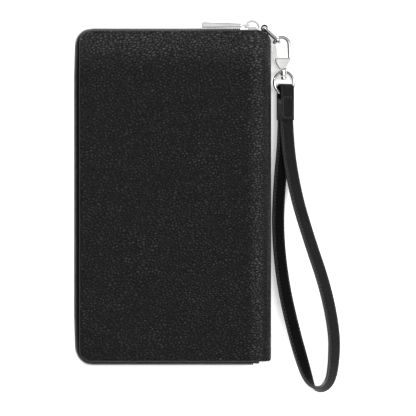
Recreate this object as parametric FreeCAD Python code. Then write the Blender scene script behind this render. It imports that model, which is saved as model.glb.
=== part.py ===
"""Zip-around travel document organizer with a ring, a swivel clasp and a wrist strap.

Frame: the organizer lies on its lower cover. Z is up through the covers, Y runs along the spine,
the spine is on the +X side, and the origin is the middle of the underside. Millimetres.
"""
import FreeCAD, Part
import math
import os

from FreeCAD import Rotation, Vector

# ---------------------------------------------------------------- driving dimensions
THICK = 22.0                    # closed organizer, outer leather to outer leather
MID = THICK / 2                 # height of the closed zip
SPINE_X = 66.8                  # outside of the spine
COVER_LEFT = -63.6              # leather edge on the zip side
COVER_HALF = 112.4              # leather edge at the two ends
COVER_CORNER = 8.2
RING_CORNER = 8.0               # the spine's corner under the ring
LEATHER = 1.6
BOARD = 1.2
LINING = 0.8
POCKET = 0.8                    # one leather pocket panel
BEND_R = 8.0                    # outside radius where a cover turns into the spine
BEND_X = SPINE_X - BEND_R       # where the flat of a cover ends
BEND_SPLIT = (42.0, 48.0)       # degrees of the bend that the cover and the spine hold
# A leather bend that straightens turns about this point, measured from its start in bend radii.
PIVOT_X = BEND_X + 0.785 * BEND_R
PIVOT_Z = 0.215 * BEND_R

TAPE = 0.6
TAPE_LEFT = -64.4               # foot of the zip tape on the long side
TAPE_HALF = 111.9               # foot of the zip tape at the two ends
TAPE_CORNER = 8.6
TAPE_END_X = 58.6
TAPE_LEAN = 1.2                 # how far the tape leans out on its way to the teeth
TOOTH_PITCH = 2.5
TOOTH_THICK = 1.05
TOOTH_LENGTH = 2.55
TOOTH_DEPTH = (0.35, 2.2)       # outward, from the tape's foot line
TEETH_START_X = 45.0            # first tooth behind the closed slider
TEETH_END_X = 54.5
FIRST_TOOTH_Z = 9.05            # teeth of the lower row start here

SLIDER_X = 53.75
SLIDER_LENGTH = 9.6
SLIDER_HALF_WIDTH = 3.5
BRIDGE_R = 4.7                  # centreline of the slider's bridge
BRIDGE_WIRE = 1.5
PULL_PIVOT = (51.6, TAPE_HALF + 4.25)   # the pull tab's end bar, inside the bridge
PULL_LEFT = 19.7
PULL_HALF_WIDTH = 3.0

RING_BAR = Vector(62.2, 114.2, MID)     # straight bar of the ring, held by the leather tab
RING_FAR = Vector(72.4, 104.7, MID)     # the bar that the clasp hooks on
RING_WIRE = 1.1
RING_HALF = 7.8                         # centreline, along Z
RING_CORNER_R = 2.4
RING_TAB_HALF = 5.6

CLASP_Z = 6.0
CLASP_TURN = 3.5                # degrees, the clasp hangs a little outward
HOOK_R = 5.0
HOOK_WIRE = 1.3
HOOK_CENTRE = Vector(0, 25.4, 0)
GATE_PIN = Vector(-3.6, 14.0, 0)
GATE_PIN_R = 0.5
EYE_R = 7.7                     # centreline of the swivel ring
EYE_TOP = 7.0                   # its top, above the swivel origin
EYE_WIRE = 1.05
POST_R = 0.9
RUNNING = 0.3                   # radial running clearance

STRAP_WIDTH = 10.0
STRAP_THICK = 2.2
STRAP_TILT = 30.0               # degrees that the sewn end leans
TAB_THICK = 1.2
STACK_X = 76.5
TAB_CREST_Y = 76.5
TAB_END_Y = 51.7

# Centreline of the wrist strap, from its lower sewn end round to its upper one, and the turn
# of its width about the centreline, in degrees: 0 lies flat, -90 stands on its edge.
STRAP_ROUTE = [
    ((75.92, 66.0, 5.0), -30), ((75.92, 40.0, 5.0), -30), ((72.6, 10.0, 4.75), -46),
    ((71.4, -24.0, 4.85), -52), ((75.2, -60.0, 4.75), -50), ((82.0, -92.0, 4.65), -48),
    ((88.1, -114.2, 5.0), -58), ((91.8, -128.2, 5.3), -72), ((97.9, -132.1, 5.3), -84),
    ((105.1, -131.0, 5.3), -96), ((109.7, -125.3, 5.3), -107), ((110.0, -112.0, 5.2), -116),
    ((109.2, -92.0, 5.05), -122), ((103.4, -62.0, 4.95), -127), ((93.0, -30.0, 4.95), -129),
    ((83.2, 2.0, 5.5), -134), ((77.08, 40.0, 7.0), -150), ((77.08, 66.0, 7.0), -150),
]

CARD_SLOTS = 5
CARD_STEP = 15.0
POCKET_X = (-57.0, 50.0)
POCKET_HALF = 106.0
PEN_LOOP_X = 57.3
PEN_LOOP_R = 5.0
PEN_LOOP_WALL = 0.8

X, Y, Z = Vector(1, 0, 0), Vector(0, 1, 0), Vector(0, 0, 1)
ORIGIN = Vector(0, 0, 0)


# ---------------------------------------------------------------- helpers
def polygon_prism(points, base, along):
    """A prism of a closed outline of (a, b) pairs, placed by base(a, b) and pushed along a vector."""
    corners = [base(a, b) for a, b in points]
    wire = Part.makePolygon(corners + [corners[0]])
    return Part.Face(wire).extrude(along)


def rounded_plate(x0, x1, half, z0, z1, left_r, top_right_r=0.0, bottom_right_r=0.0):
    """A flat plate between x0 and x1, +-half in Y, with rounded corners."""
    plate = Part.makeBox(x1 - x0, 2 * half, z1 - z0, Vector(x0, -half, z0))
    radii = {(x0, half): left_r, (x0, -half): left_r,
             (x1, half): top_right_r, (x1, -half): bottom_right_r}
    for edge in list(plate.Edges):
        a, b = (v.Point for v in edge.Vertexes)
        if abs(a.z - b.z) < 1e-6:
            continue
        radius = radii[(round(a.x, 6), round(a.y, 6))]
        if radius > 0:
            near = [e for e in plate.Edges if len(e.Vertexes) == 2
                    and all(abs(v.X - a.x) < 1e-6 and abs(v.Y - a.y) < 1e-6 for v in e.Vertexes)]
            plate = plate.makeFillet(radius, near)
    return plate


def mirrored(shape):
    """The same piece on the other cover."""
    return shape.mirror(Vector(0, 0, MID), Z)


def bend_strip(start, end, inner, outer):
    """Part of the quarter bend at the foot of the spine, between two angles from straight down."""
    def at(radius, degrees):
        a = math.radians(degrees)
        return Vector(BEND_X + radius * math.sin(a), -COVER_HALF, BEND_R - radius * math.cos(a))
    middle = (start + end) / 2
    edges = [Part.Arc(at(outer, start), at(outer, middle), at(outer, end)).toShape(),
             Part.makeLine(at(outer, end), at(inner, end)),
             Part.Arc(at(inner, end), at(inner, middle), at(inner, start)).toShape(),
             Part.makeLine(at(inner, start), at(outer, start))]
    return Part.Face(Part.Wire(edges)).extrude(Y * (2 * COVER_HALF))


def spine_trim():
    """The outline that all outer leather keeps to, seen from above."""
    return rounded_plate(COVER_LEFT, SPINE_X, COVER_HALF, 0, THICK, COVER_CORNER, RING_CORNER, 1.5)


# ---------------------------------------------------------------- covers
def cover_leather():
    flat = Part.makeBox(BEND_X - COVER_LEFT, 2 * COVER_HALF, LEATHER,
                        Vector(COVER_LEFT, -COVER_HALF, 0))
    bend = bend_strip(0, BEND_SPLIT[0], BEND_R - LEATHER, BEND_R)
    return flat.fuse(bend).removeSplitter().common(spine_trim())


def cover_board():
    return rounded_plate(COVER_LEFT + 4.5, BEND_X - 3, COVER_HALF - 4.0, LEATHER, LEATHER + BOARD, 5.0)


def cover_lining():
    base = LEATHER + BOARD
    return rounded_plate(COVER_LEFT + 1.2, BEND_X - 1, COVER_HALF - 2.2, base, base + LINING, 7.0)


def spine_leather():
    low, high = BEND_SPLIT[1], 90
    foot = bend_strip(low, high, BEND_R - LEATHER, BEND_R)
    wall = Part.makeBox(LEATHER, 2 * COVER_HALF, THICK - 2 * BEND_R,
                        Vector(SPINE_X - LEATHER, -COVER_HALF, BEND_R))
    return foot.fuse([wall, mirrored(foot)]).removeSplitter().common(spine_trim())


def spine_lining():
    depth = 10.0
    return Part.makeBox(LINING, 2 * (COVER_HALF - 6), depth,
                        Vector(SPINE_X - 3.7, -COVER_HALF + 6, MID - depth / 2))


# ---------------------------------------------------------------- zip
def zip_path(offset, start_x=TAPE_END_X, end_x=TAPE_END_X):
    """Edges of the line round three sides, that far outside the tape's foot line, at height 0."""
    left, half, r = TAPE_LEFT - offset, TAPE_HALF + offset, TAPE_CORNER + offset
    k = r * (1 - math.sqrt(0.5))
    return [
        Part.makeLine(Vector(start_x, half, 0), Vector(left + r, half, 0)),
        Part.Arc(Vector(left + r, half, 0), Vector(left + k, half - k, 0),
                 Vector(left, half - r, 0)).toShape(),
        Part.makeLine(Vector(left, half - r, 0), Vector(left, r - half, 0)),
        Part.Arc(Vector(left, r - half, 0), Vector(left + k, k - half, 0),
                 Vector(left + r, -half, 0)).toShape(),
        Part.makeLine(Vector(left + r, -half, 0), Vector(end_x, -half, 0)),
    ]


def zip_tape():
    """A flange sewn under the leather, and a wall that leans out to the teeth."""
    top = FIRST_TOOTH_Z - 0.05
    section = [(-2.4, LEATHER), (0, LEATHER), (TAPE_LEAN, top), (TAPE_LEAN - TAPE, top),
               (-TAPE, LEATHER + TAPE), (-2.4, LEATHER + TAPE)]
    corners = [Vector(TAPE_END_X, TAPE_HALF + d, z) for d, z in section]
    profile = Part.makePolygon(corners + [corners[0]])
    return Part.Wire(zip_path(0)).makePipeShell([profile], True, False).cut(cover_leather())


def tooth_row(phase):
    """One row of teeth, each a separate solid, spaced along the three sides."""
    path = zip_path(0, TEETH_START_X, TEETH_END_X)
    lengths = [edge.Length for edge in path]
    d0, d1 = TOOTH_DEPTH
    block = Part.makeBox(TOOTH_THICK, d1 - d0, TOOTH_LENGTH, Vector(-TOOTH_THICK / 2, d0, FIRST_TOOTH_Z))
    row = []
    along = phase * TOOTH_PITCH
    while along < sum(lengths):
        rest, edge = along, 0
        while rest > lengths[edge]:
            rest -= lengths[edge]
            edge += 1
        curve = path[edge]
        parameter = curve.getParameterByLength(rest)
        place, run = curve.valueAt(parameter), curve.tangentAt(parameter)
        outward = Vector(run.y, -run.x, 0)
        turn = math.degrees(math.atan2(outward.y, outward.x)) - 90
        tooth = block.copy()
        tooth.Placement = FreeCAD.Placement(place, Rotation(Z, turn))
        row.append(tooth)
        along += TOOTH_PITCH
    return row


def zip_stop(x, z1, side, length):
    """A clamped stop on the lower tape's edge, at the top or the bottom end of the organizer."""
    y0 = TAPE_HALF + 0.2 if side > 0 else -TAPE_HALF - 2.2
    return Part.makeBox(length, 2.0, z1 - FIRST_TOOTH_Z, Vector(x, y0, FIRST_TOOTH_Z))


def slider_body():
    """Two plates joined by the divider, with lips that hold the tape edges."""
    y = TAPE_HALF
    plates = []
    for low, high in ((-0.9, -0.1), (2.45, 3.25)):
        plate = Part.makeBox(SLIDER_LENGTH, high - low, 2 * SLIDER_HALF_WIDTH,
                             Vector(SLIDER_X - SLIDER_LENGTH / 2, y + low, MID - SLIDER_HALF_WIDTH))
        corners = [e for e in plate.Edges if abs(e.tangentAt(e.FirstParameter).y) > 0.9]
        plates.append(plate.makeFillet(1.6, corners))
    solid = plates[0].fuse(plates[1])
    lip = 0.8
    for sign in (-1, 1):
        z = MID + sign * (SLIDER_HALF_WIDTH - lip / 2) - lip / 2
        for low, high in ((-0.15, 0.05), (1.55, 2.5)):
            solid = solid.fuse(Part.makeBox(SLIDER_LENGTH - 4, high - low, lip,
                                            Vector(SLIDER_X - SLIDER_LENGTH / 2 + 2, y + low, z)))
    divider = Part.makeBox(2.6, 2.7, 1.5, Vector(SLIDER_X + 1.2, y - 0.2, MID - 0.75))
    return solid.fuse(divider).removeSplitter()


def slider_bridge():
    """Half ring over the slider that the pull tab's eye runs on."""
    y = TAPE_HALF + 2.35
    ring = Part.makeCylinder(BRIDGE_R + BRIDGE_WIRE / 2, 2.2, Vector(SLIDER_X, y, MID - 1.1), Z)
    ring = ring.cut(Part.makeCylinder(BRIDGE_R - BRIDGE_WIRE / 2, 4, Vector(SLIDER_X, y, MID - 2), Z))
    rims = [e for e in ring.Edges if e.Closed]
    ring = ring.makeFillet(0.4, rims)
    keep = Part.makeBox(20, 10, 10, Vector(SLIDER_X - 10, TAPE_HALF + 3.25, MID - 5))
    return ring.common(keep)


def pull_tab():
    """A plain bar with an eye at its end, whose end bar lies inside the bridge."""
    y, right = TAPE_HALF, 46.8
    bar = polygon_prism([(PULL_LEFT, y + 2.6), (right, y + 2.8), (right, y + 5.4), (PULL_LEFT, y + 6.4)],
                        lambda a, b: Vector(a, b, MID - PULL_HALF_WIDTH), Z * (2 * PULL_HALF_WIDTH))
    bar = bar.makeFillet(0.55, bar.Edges)
    eye_half, hole_half, half = 2.4, 1.4, 0.6
    pivot_x, pivot_y = PULL_PIVOT
    lug = Part.makeBox(pivot_x - right + 0.5, 2 * half, 2 * eye_half,
                       Vector(right - 0.5, pivot_y - half, MID - eye_half))
    lug = lug.fuse(Part.makeCylinder(half, 2 * eye_half, Vector(pivot_x, pivot_y, MID - eye_half), Z))
    hole = Part.makeBox(3.3, 3, 2 * hole_half, Vector(pivot_x - 3.9, pivot_y - 1.5, MID - hole_half))
    return bar.fuse(lug.cut(hole)).removeSplitter()


# ---------------------------------------------------------------- pockets
def pocket_panel(y0, y1, level, x0=POCKET_X[0], x1=POCKET_X[1]):
    """A leather panel lying on the lower cover's lining, that many panels up."""
    base = LEATHER + BOARD + LINING + level * POCKET
    return Part.makeBox(x1 - x0, y1 - y0, POCKET, Vector(x0, y0, base))


def pen_loop():
    """An elastic loop under the upper lining, beside the spine."""
    z = THICK - LEATHER - BOARD - LINING - PEN_LOOP_R
    base = Vector(PEN_LOOP_X, 62, z)
    loop = Part.makeCylinder(PEN_LOOP_R, 32, base, Y)
    return loop.cut(Part.makeCylinder(PEN_LOOP_R - PEN_LOOP_WALL, 32, base, Y))


# ---------------------------------------------------------------- ring and its tab
def ring_tab():
    """Leather tongue sewn into the spine, rolled round the ring's straight bar."""
    outer = RING_WIRE + RUNNING + 1.0
    low = RING_BAR - Z * RING_TAB_HALF
    roll = Part.makeCylinder(outer, 2 * RING_TAB_HALF, low, Z)
    y = RING_BAR.y
    tongue = polygon_prism([(62.4, y - 1.6), (63.9, y - 4), (63.9, y - 14), (65.1, y - 14), (65.1, y - 3),
                            (64.2, y - 0.8)],
                           lambda a, b: Vector(a, b, low.z), Z * (2 * RING_TAB_HALF))
    bore = Part.makeCylinder(RING_WIRE + RUNNING, 2 * RING_TAB_HALF, low, Z)
    return roll.fuse(tongue).cut([bore, spine_leather()]).removeSplitter()


def d_ring():
    """A rounded rectangular ring of round wire that stands on edge."""
    across = RING_FAR - RING_BAR
    long, r = across.Length, RING_CORNER_R
    across.normalize()

    def at(a, z):
        return RING_BAR + across * a + Z * z
    h, k = RING_HALF, r * (1 - math.sqrt(0.5))
    s = 1.2
    m = s * (1 - math.sqrt(0.5))
    edges = [
        Part.makeLine(at(0, 0), at(0, h - s)),
        Part.Arc(at(0, h - s), at(m, h - m), at(s, h)).toShape(),
        Part.makeLine(at(s, h), at(long - r, h)),
        Part.Arc(at(long - r, h), at(long - k, h - k), at(long, h - r)).toShape(),
        Part.makeLine(at(long, h - r), at(long, r - h)),
        Part.Arc(at(long, r - h), at(long - k, k - h), at(long - r, -h)).toShape(),
        Part.makeLine(at(long - r, -h), at(s, -h)),
        Part.Arc(at(s, -h), at(m, m - h), at(0, s - h)).toShape(),
        Part.makeLine(at(0, s - h), at(0, 0)),
    ]
    profile = Part.Wire(Part.makeCircle(RING_WIRE, RING_BAR, Z))
    return Part.Wire(edges).makePipeShell([profile], True, False)


# ---------------------------------------------------------------- clasp
def clasp_place():
    """Placement from the clasp's own frame, swivel axis along Y, to the organizer's."""
    turn = Rotation(Z, CLASP_TURN)
    on_ring = HOOK_CENTRE + Vector(-1.6, 1.6, 0)
    target = Vector(RING_FAR.x, RING_FAR.y, CLASP_Z)
    return FreeCAD.Placement(target - turn.multVec(on_ring), turn)


def placed(shape):
    """The shape carried from the clasp's frame into the organizer's."""
    moved = shape.copy()
    moved.Placement = clasp_place().multiply(shape.Placement)
    return moved


def clasp_hook():
    def on_arc(degrees):
        a = math.radians(degrees)
        return HOOK_CENTRE + Vector(math.cos(a), math.sin(a), 0) * HOOK_R
    half = 2.1
    plate = polygon_prism([(-5.0, 16.2), (-5.0, 13.2), (-2.5, 8.4), (2.5, 8.4), (6.2, 14.4), (6.2, 16.2)],
                          lambda a, b: Vector(a, b, -half), Z * (2 * half))
    plate = plate.makeFillet(0.7, plate.Edges)
    foot = Vector(4.9, 15.0, 0)
    path = Part.Wire([Part.makeLine(foot, on_arc(-6)),
                      Part.Arc(on_arc(-6), on_arc(80), on_arc(160)).toShape()])
    profile = Part.Wire(Part.makeCircle(HOOK_WIRE, foot, on_arc(-6) - foot))
    hook = path.makePipeShell([profile], True, False)
    nose = Part.makeSphere(HOOK_WIRE, on_arc(160))
    post = Part.makeCylinder(POST_R, 5.0, Vector(0, 3.8, 0), Y)
    slot = Part.makeBox(4.6, 5.5, 2.9, Vector(-6.2, 12.3, -1.45))
    hole = Part.makeCylinder(GATE_PIN_R + 0.02, 6, GATE_PIN - Z * 3, Z)
    return plate.fuse([hook, nose, post]).cut(slot).cut(hole).removeSplitter()


def post_head():
    """Riveted head that keeps the swivel ring on the post."""
    head = Part.makeCylinder(2.0, 2.4, Vector(0, 1.4, 0), Y)
    return head.makeFillet(0.6, [e for e in head.Edges if e.Closed])


def clasp_gate():
    half = 1.25
    lever = polygon_prism([(-4.9, 14.6), (-2.6, 15.0), (-3.5, 19.0), (-3.9, 25.2), (-5.9, 25.2),
                           (-6.3, 21.4), (-7.0, 20.6), (-7.0, 19.4), (-6.0, 18.6)],
                          lambda a, b: Vector(a, b, -half), Z * (2 * half))
    lever = lever.makeFillet(0.35, [e for e in lever.Edges if abs(e.tangentAt(e.FirstParameter).z) > 0.9])
    tail = Part.makeCylinder(1.35, half + 0.3, Vector(GATE_PIN.x, GATE_PIN.y, -half), Z)
    trim = Part.makeBox(6, 4.0, 2, Vector(-7, 12, 0.3))
    bore = Part.makeCylinder(GATE_PIN_R + RUNNING, 4, GATE_PIN - Z * 2, Z)
    return lever.fuse(tail).cut(trim).cut(bore).removeSplitter()


def gate_pin():
    return Part.makeCylinder(GATE_PIN_R, 4.2, GATE_PIN - Z * 2.1, Z)


def gate_spring():
    """Three closed turns of wire round the gate pin."""
    turns = [Part.makeTorus(0.95, 0.17, GATE_PIN + Z * (0.55 + 0.3 * k), Z) for k in range(3)]
    return turns[0].fuse(turns[1:])


def swivel_ring():
    ring = Part.makeTorus(EYE_R, EYE_WIRE, Vector(0, EYE_TOP - EYE_R, 0))
    boss = Part.makeCylinder(2.3, 4.0, Vector(0, 4.1, 0), Y)
    boss = boss.makeFillet(0.5, [e for e in boss.Edges if e.Closed])
    eye = ring.fuse(boss).cut(Part.makeCylinder(POST_R + RUNNING, 6, Vector(0, 3, 0), Y))
    eye = eye.removeSplitter()
    eye.rotate(ORIGIN, Y, STRAP_TILT)
    return eye


# ---------------------------------------------------------------- wrist strap
def stack_frame():
    """Middle of the sewn stack, its width direction and its normal."""
    tilt = math.radians(STRAP_TILT)
    return (Vector(STACK_X, 0, CLASP_Z),
            Vector(math.cos(tilt), 0, -math.sin(tilt)), Vector(math.sin(tilt), 0, math.cos(tilt)))


def strap_tab():
    """A leather strip folded through the swivel ring, its legs outside both strap ends."""
    middle, width, normal = stack_frame()
    inner = STRAP_THICK + 0.25
    outer = inner + TAB_THICK
    bend_y = TAB_CREST_Y - outer

    def at(y, side):
        return middle + Y * y + normal * side - width * (STRAP_WIDTH / 2)
    edges = [
        Part.makeLine(at(TAB_END_Y, -outer), at(bend_y, -outer)),
        Part.Arc(at(bend_y, -outer), at(TAB_CREST_Y, 0), at(bend_y, outer)).toShape(),
        Part.makeLine(at(bend_y, outer), at(TAB_END_Y, outer)),
        Part.makeLine(at(TAB_END_Y, outer), at(TAB_END_Y, inner)),
        Part.makeLine(at(TAB_END_Y, inner), at(bend_y, inner)),
        Part.Arc(at(bend_y, inner), at(TAB_CREST_Y - TAB_THICK, 0), at(bend_y, -inner)).toShape(),
        Part.makeLine(at(bend_y, -inner), at(TAB_END_Y, -inner)),
        Part.makeLine(at(TAB_END_Y, -inner), at(TAB_END_Y, -outer)),
    ]
    return Part.Face(Part.Wire(edges)).extrude(width * STRAP_WIDTH)


def strap_stations():
    """(point, run direction, turn in degrees) along the straight runs and tangent arcs."""
    points = [Vector(*p) for p, _ in STRAP_ROUTE]
    turns = [turn for _, turn in STRAP_ROUTE]
    last = len(points) - 1
    stations = [(points[0], (points[1] - points[0]).normalize(), turns[0])]
    radii = []
    for i in range(1, last):
        back, ahead = points[i] - points[i - 1], points[i + 1] - points[i]
        shorter = min(back.Length, ahead.Length)
        back.normalize()
        ahead.normalize()
        bend = back.getAngle(ahead)
        radius = 0.45 * shorter / math.tan(bend / 2)
        radii.append(radius)
        cut = 0.45 * shorter
        centre = points[i] + (ahead - back).normalize() * math.hypot(cut, radius)
        axis = back.cross(ahead).normalize()
        steps = max(1, round(math.degrees(bend) / 12))
        spoke = points[i] - back * cut - centre
        for k in range(steps + 1):
            turn = Rotation(axis, math.degrees(bend) * k / steps)
            share = (k / steps - 0.5) * 0.9
            beside = turns[i + 1] - turns[i] if share > 0 else turns[i] - turns[i - 1]
            stations.append((centre + turn.multVec(spoke), turn.multVec(back), turns[i] + share * beside))
    stations.append((points[last], (points[last] - points[last - 1]).normalize(), turns[last]))
    print("strap bend radii:", [round(r, 1) for r in radii])
    return stations


def wrist_strap():
    """The band: a rectangle carried along the stations, turning as it goes."""
    sections, centres = [], []
    for place, run, turn in strap_stations():
        level = Z.cross(run).normalize()
        up = run.cross(level)
        a = math.radians(turn)
        width = level * math.cos(a) + up * math.sin(a)
        face = run.cross(width)
        half_w, half_t = width * (STRAP_WIDTH / 2), face * (STRAP_THICK / 2)
        corners = [place - half_w - half_t, place + half_w - half_t,
                   place + half_w + half_t, place - half_w + half_t]
        sections.append(Part.makePolygon(corners + [corners[0]]))
        centres.append(place)
    band = Part.makeLoft(sections, True, True)
    length = sum((b - a).Length for a, b in zip(centres, centres[1:]))
    print("strap length", round(length, 1), "volume share",
          round(band.Volume / (STRAP_WIDTH * STRAP_THICK * length), 3))
    return band


# ---------------------------------------------------------------- the assembly
def parts():
    """Node name to one solid or a list of separate solids."""
    lower_tape, lower_teeth = zip_tape(), tooth_row(0.0)
    upper_teeth = [mirrored(t) for t in tooth_row(0.5)]
    ticket_top, card_top = -20.0, 96.0
    nodes = {
        "lower_cover_leather": cover_leather(),
        "lower_cover_board": cover_board(),
        "lower_cover_lining": cover_lining(),
        "lower_zip_tape": lower_tape,
        "lower_zip_teeth": lower_teeth,
        "zip_bottom_stop": zip_stop(55.9, THICK - FIRST_TOOTH_Z, -1, 2.0),
        "zip_top_stop": zip_stop(55.4, FIRST_TOOTH_Z + 0.95, 1, 1.6),
        "full_length_slip_pocket": pocket_panel(-POCKET_HALF, POCKET_HALF, 0),
        "ticket_pocket": pocket_panel(-POCKET_HALF, ticket_top, 1),
        "upper_cover_leather": mirrored(cover_leather()),
        "upper_cover_board": mirrored(cover_board()),
        "upper_cover_lining": mirrored(cover_lining()),
        "upper_zip_tape": mirrored(zip_tape()),
        "upper_zip_teeth": upper_teeth,
        "boarding_pass_pocket": mirrored(pocket_panel(-POCKET_HALF, 78.0, 0)),
        "passport_pocket": mirrored(pocket_panel(-POCKET_HALF, 4.0, 1, POCKET_X[0], 42.0)),
        "pen_loop": pen_loop(),
        "spine_leather": spine_leather(),
        "spine_lining": spine_lining(),
        "ring_tab": ring_tab(),
        "d_ring": d_ring(),
        "slider_body": slider_body(),
        "slider_bridge": slider_bridge(),
        "pull_tab": pull_tab(),
        "clasp_hook": placed(clasp_hook()),
        "swivel_post_head": placed(post_head()),
        "clasp_gate": placed(clasp_gate()),
        "gate_pin": placed(gate_pin()),
        "gate_spring": placed(gate_spring()),
        "swivel_ring": placed(swivel_ring()),
        "strap_tab": strap_tab(),
        "wrist_strap": wrist_strap(),
    }
    for slot in range(CARD_SLOTS):
        nodes[f"card_slot_{slot + 1}"] = pocket_panel(ticket_top + 2, card_top - slot * CARD_STEP, slot + 1)
    return nodes


def main():
    os.makedirs("parts", exist_ok=True)
    for old in os.listdir("parts"):
        os.remove(os.path.join("parts", old))
    for name, shape in parts().items():
        solid = Part.makeCompound(shape) if isinstance(shape, list) else shape
        if not isinstance(shape, list) and len(solid.Solids) == 1:
            solid = solid.Solids[0]
        if not solid.isValid() or not solid.Solids:
            print("NOT VALID:", name, solid.ShapeType, len(solid.Solids))
        solid.exportStep(f"parts/{name}.step")
    place = clasp_place()
    print("bend pivots", round(PIVOT_X, 3), round(PIVOT_Z, 3), round(THICK - PIVOT_Z, 3))
    print("swivel origin", place.Base, "axis", place.Rotation.multVec(Y))
    print("gate pin", place.multVec(GATE_PIN), "tab hinge", place.multVec(Y * (EYE_TOP - 2 * EYE_R)))


main()
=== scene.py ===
"""Looks of the zip-around travel document organizer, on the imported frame. Metres, Z up, spine at +X."""

import bpy
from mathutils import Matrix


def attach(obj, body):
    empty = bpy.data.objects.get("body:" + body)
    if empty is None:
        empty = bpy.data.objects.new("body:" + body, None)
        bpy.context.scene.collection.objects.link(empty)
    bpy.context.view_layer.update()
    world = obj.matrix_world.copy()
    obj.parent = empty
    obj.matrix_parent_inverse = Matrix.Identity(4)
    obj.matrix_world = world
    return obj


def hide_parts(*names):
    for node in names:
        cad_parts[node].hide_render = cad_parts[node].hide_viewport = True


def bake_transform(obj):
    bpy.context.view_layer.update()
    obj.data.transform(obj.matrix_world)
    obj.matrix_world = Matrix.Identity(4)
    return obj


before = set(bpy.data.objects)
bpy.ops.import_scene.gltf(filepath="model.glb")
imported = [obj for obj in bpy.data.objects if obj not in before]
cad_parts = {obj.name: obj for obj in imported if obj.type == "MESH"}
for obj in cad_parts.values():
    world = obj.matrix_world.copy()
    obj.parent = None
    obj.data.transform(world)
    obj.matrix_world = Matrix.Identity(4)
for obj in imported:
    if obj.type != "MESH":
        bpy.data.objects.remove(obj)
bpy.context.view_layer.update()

import bpy, bmesh, math
import numpy as np
from mathutils import Vector

MM = 0.001
# The CAD's own dimensions, in millimetres.
THICK, MID = 22.0, 11.0
SPINE_X, COVER_LEFT, COVER_HALF, COVER_CORNER = 66.8, -63.6, 112.4, 8.2
RING_CORNER, FOOT_CORNER = 8.0, 1.5
LEATHER, BEND_R = 1.6, 8.0
BEND_X = SPINE_X - BEND_R
BOARD_TOP, LINING_T = 2.8, 0.8
INSIDE = BOARD_TOP + LINING_T      # leather, board and lining together
POCKET_T = 0.8
TAPE_LEFT, TAPE_HALF, TAPE_CORNER, TAPE_END = -64.4, 111.9, 8.6, 58.6
RING_BAR = (62.2, 114.2)
STACK_X, STACK_Z, STACK_TILT = 76.5, 6.0, 30.0      # the strap's ends inside their tab
STRAP_W, STRAP_T = 10.0, 2.2
TAB_T, TAB_GAP = 1.2, 0.25         # the tab's leather, and the room between it and the strap's ends
SEAM = 1.25                        # from a band's side to its sewn line


# ================================================================ camera
FOCUS_Z = 14.0 * MM                # between the cover's face and the strap
LENS, SENSOR = 400.0, 36.0
SPAN = 0.2829                      # how much the view takes in, across
CENTRE = (0.0238, -0.0082)
camera_data = bpy.data.cameras.new("camera")
camera_data.lens, camera_data.sensor_width = LENS, SENSOR
camera_data.clip_start, camera_data.clip_end = 0.01, 20.0
camera = bpy.data.objects.new("camera", camera_data)
camera.location = (*CENTRE, FOCUS_Z + SPAN * LENS / SENSOR)
bpy.context.scene.collection.objects.link(camera)
bpy.context.scene.camera = camera
bpy.context.scene.view_settings.view_transform = "Standard"


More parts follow.
